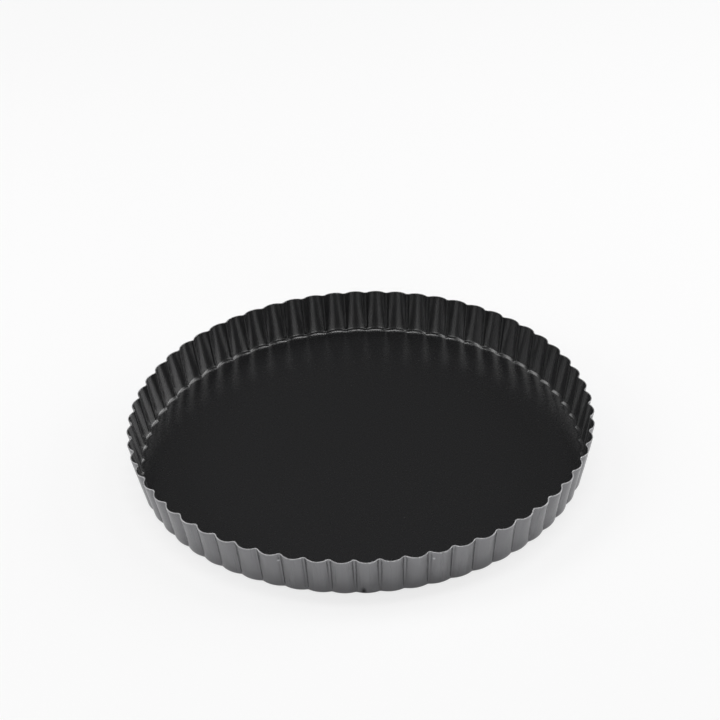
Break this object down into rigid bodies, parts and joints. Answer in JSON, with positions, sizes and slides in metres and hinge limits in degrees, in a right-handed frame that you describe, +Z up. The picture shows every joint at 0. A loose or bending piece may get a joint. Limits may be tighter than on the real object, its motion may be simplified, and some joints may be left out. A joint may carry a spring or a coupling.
{
  "type": "quiche pan",
  "caption": "Shallow round quiche pan pressed from one coated steel sheet, with a fluted wall that leans out to a cut rim.",
  "frame": {"origin": "centre of the flat underside, on the pan's axis", "axes": "+Z up along the pan's axis, -Y towards the front of the picture, where the crest of one flute lies"},
  "size_m": [0.2796, 0.28, 0.0274],
  "materials": {
    "coated_steel": "satin non-stick coating, near black inside, with mid grey satin lacquer outside and a bare cut rim edge"
  },
  "bodies": {
    "root": {"pan": "coated_steel"}
  },
  "joints": []
}
